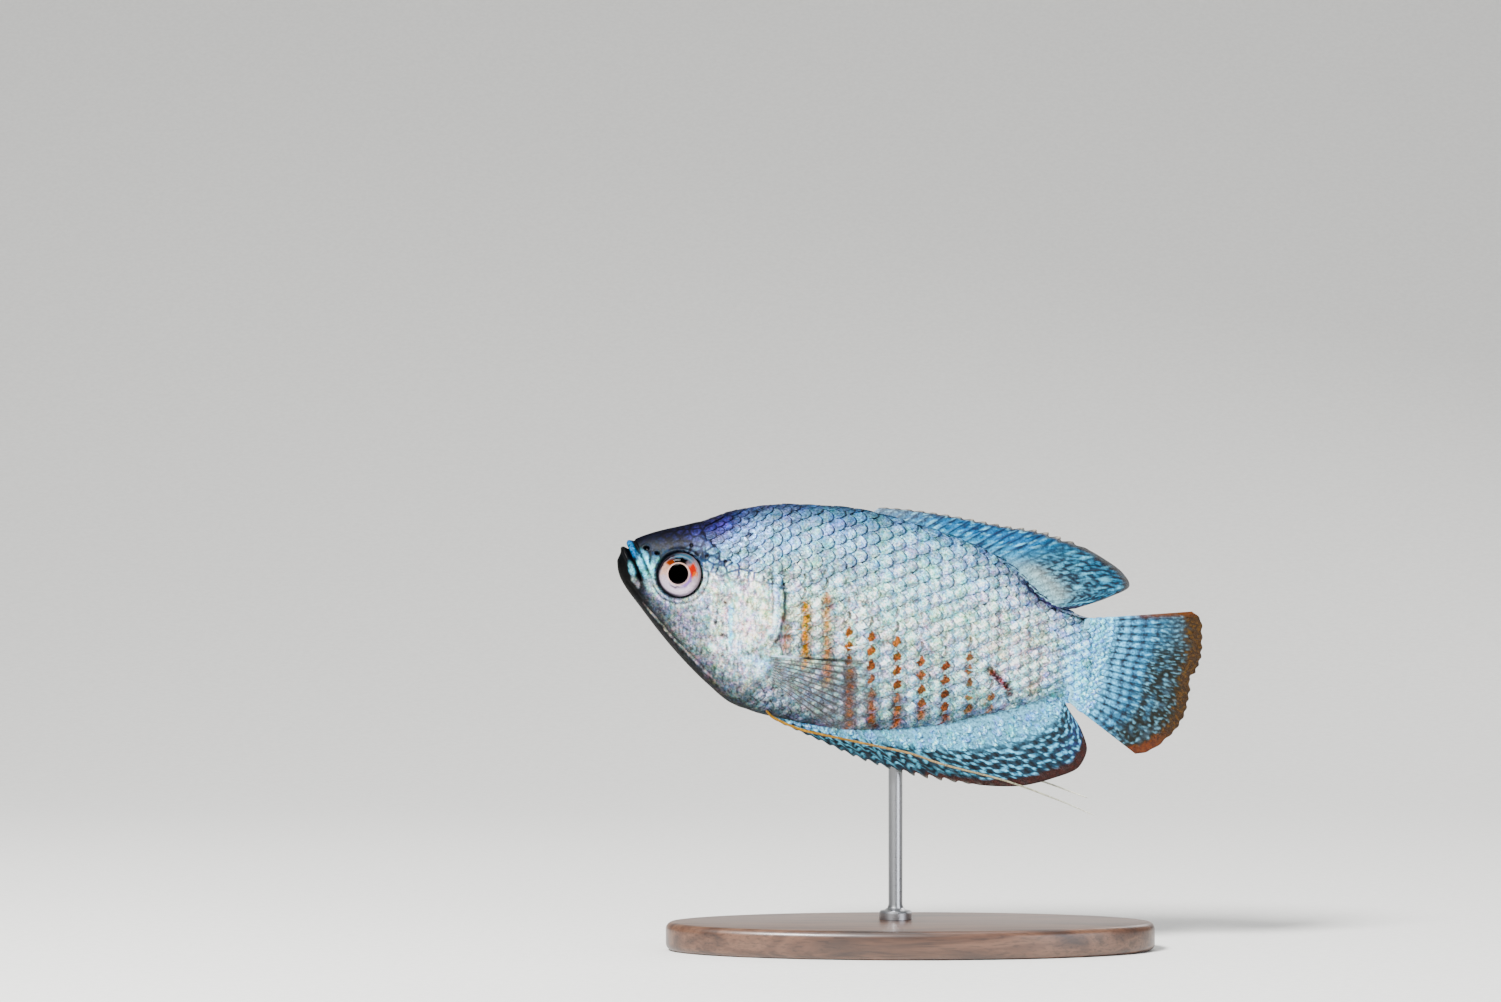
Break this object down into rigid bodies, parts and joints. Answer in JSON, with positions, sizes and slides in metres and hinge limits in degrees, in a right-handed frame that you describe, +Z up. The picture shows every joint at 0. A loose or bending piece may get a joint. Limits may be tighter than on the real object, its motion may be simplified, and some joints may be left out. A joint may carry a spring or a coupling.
{
  "type": "dwarf gourami model",
  "caption": "Life-size model of a small, deep-bodied freshwater fish with ray fins and two long thread-like feelers, held by a rod on an oval display stand.",
  "frame": {"origin": "middle of the model's box at the underside of the stand's base, where it rests", "axes": "+X from the fish's snout to its tail, the longest way, +Y to the fish's right, +Z up"},
  "size_m": [0.0746, 0.027, 0.0566],
  "materials": {
    "body_scales": "painted silvery pale blue, satin, slightly pearly",
    "head_skin": "painted slate blue to silvery grey, satin",
    "blue_fins": "painted sky blue with dark rays and rust flecks, satin",
    "clear_fins": "translucent grey with dark rays",
    "feelers": "painted pale orange, satin",
    "eyes": "black pupil in a pinkish pearl iris, polished",
    "stand_wood": "dark stained walnut, satin lacquer",
    "stand_metal": "brushed stainless steel"
  },
  "bodies": {
    "root": {"trunk": "body_scales", "tail_stalk": "body_scales", "head": "head_skin", "upper_jaw": "head_skin", "lower_jaw": "head_skin", "gill_cover_left": "body_scales", "gill_cover_right": "body_scales", "eye_left": "eyes", "eye_right": "eyes", "dorsal_fin": "blue_fins", "anal_fin": "blue_fins", "tail_fin": "blue_fins", "pectoral_fin_left": "clear_fins", "pectoral_fin_right": "clear_fins", "feeler_left": "feelers", "feeler_right": "feelers", "stand_base": "stand_wood", "stand_rod": "stand_metal"}
  },
  "joints": []
}
